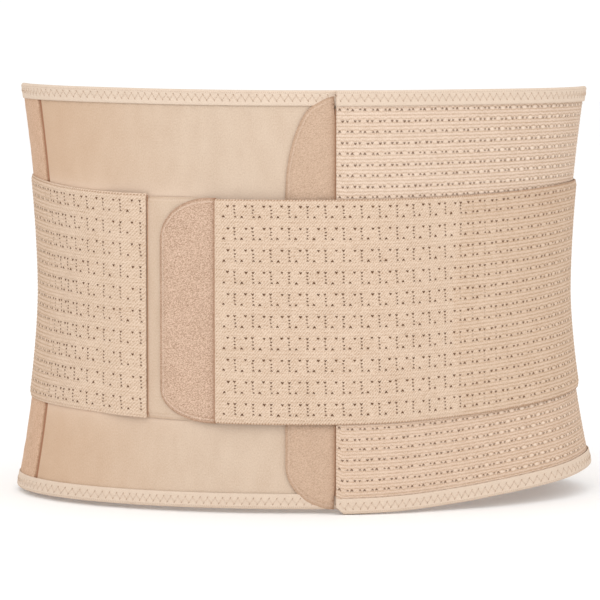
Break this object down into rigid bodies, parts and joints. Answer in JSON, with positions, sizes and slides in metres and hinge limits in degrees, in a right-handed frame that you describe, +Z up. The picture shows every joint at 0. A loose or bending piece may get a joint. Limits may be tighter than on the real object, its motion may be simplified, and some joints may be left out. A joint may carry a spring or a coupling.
{
  "type": "lumbar support belt",
  "caption": "Elastic lumbar support belt closed in front, with a stayed back, a smooth and a perforated front panel, and two outer tightening straps on hook tabs.",
  "frame": {"origin": "the middle of the belt's footprint, on the surface that it stands on", "axes": "+Z up along the wearer's body, -Y to the front where the belt closes, +X to the right as seen from the front"},
  "size_m": [0.3448, 0.2442, 0.2425],
  "materials": {
    "laminate": "matt, fine knit over foam",
    "elastic_mesh": "matt, ribbed perforated elastic",
    "velour": "matt, short brushed pile",
    "hook_tab": "matt, brushed",
    "hook_tape": "moulded hooks",
    "binding_tape": "matt woven tape",
    "lining": "soft towelling",
    "spring_steel": "satin",
    "tip_plastic": "satin"
  },
  "bodies": {
    "root": {"back_panel": "velour", "left_side_panel": "velour", "right_side_panel": "elastic_mesh", "back_lining": "lining", "back_top_binding": "binding_tape", "back_bottom_binding": "binding_tape", "stay_pocket_1": "velour", "stay_pocket_2": "velour", "stay_pocket_3": "velour", "stay_pocket_4": "velour", "stay_1": "spring_steel", "stay_2": "spring_steel", "stay_3": "spring_steel", "stay_4": "spring_steel", "stay_1_tip_bottom": "tip_plastic", "stay_1_tip_top": "tip_plastic", "stay_2_tip_bottom": "tip_plastic", "stay_2_tip_top": "tip_plastic", "stay_3_tip_bottom": "tip_plastic", "stay_3_tip_top": "tip_plastic", "stay_4_tip_bottom": "tip_plastic", "stay_4_tip_top": "tip_plastic", "left_strap_rear": "elastic_mesh", "right_strap_rear": "elastic_mesh", "left_anchor_tape": "binding_tape", "right_anchor_tape": "binding_tape"},
    "left_wing": {"left_front_panel": "laminate", "left_top_binding": "binding_tape", "left_bottom_binding": "binding_tape", "left_end_binding": "binding_tape", "left_strap_mid": "elastic_mesh"},
    "right_wing": {"right_front_panel": "elastic_mesh", "right_top_binding": "binding_tape", "right_bottom_binding": "binding_tape", "right_strap_mid": "elastic_mesh", "main_hook_tab": "hook_tab", "main_hook_patch": "hook_tape"},
    "left_strap": {"left_strap_front": "elastic_mesh", "left_strap_tab": "laminate", "left_strap_hook_patch": "hook_tape"},
    "right_strap": {"right_strap_front": "elastic_mesh", "right_strap_tab": "hook_tab", "right_strap_hook_patch": "hook_tape"}
  },
  "joints": [
    {"name": "right_wing_opening", "type": "hinge", "parent": "root", "child": "right_wing", "pos_m": [0.16957, -0.02424, 0.12], "axis": [0, 0, 1], "range_deg": [0, 90]},
    {"name": "left_wing_opening", "type": "hinge", "parent": "root", "child": "left_wing", "pos_m": [-0.16181, -0.04314, 0.12], "axis": [0, 0, 1], "range_deg": [-60, 0]},
    {"name": "right_strap_opening", "type": "hinge", "parent": "right_wing", "child": "right_strap", "pos_m": [0.09354, -0.09722, 0.12], "axis": [0, 0, 1], "range_deg": [0, 100]},
    {"name": "left_strap_opening", "type": "hinge", "parent": "left_wing", "child": "left_strap", "pos_m": [-0.12674, -0.07534, 0.12], "axis": [0, 0, 1], "range_deg": [-82, 0]}
  ],
  "couplings": [
    {"joint": "left_wing_opening", "follows": "right_wing_opening", "ratio": -0.65},
    {"joint": "left_strap_opening", "follows": "right_strap_opening", "ratio": -0.8}
  ]
}
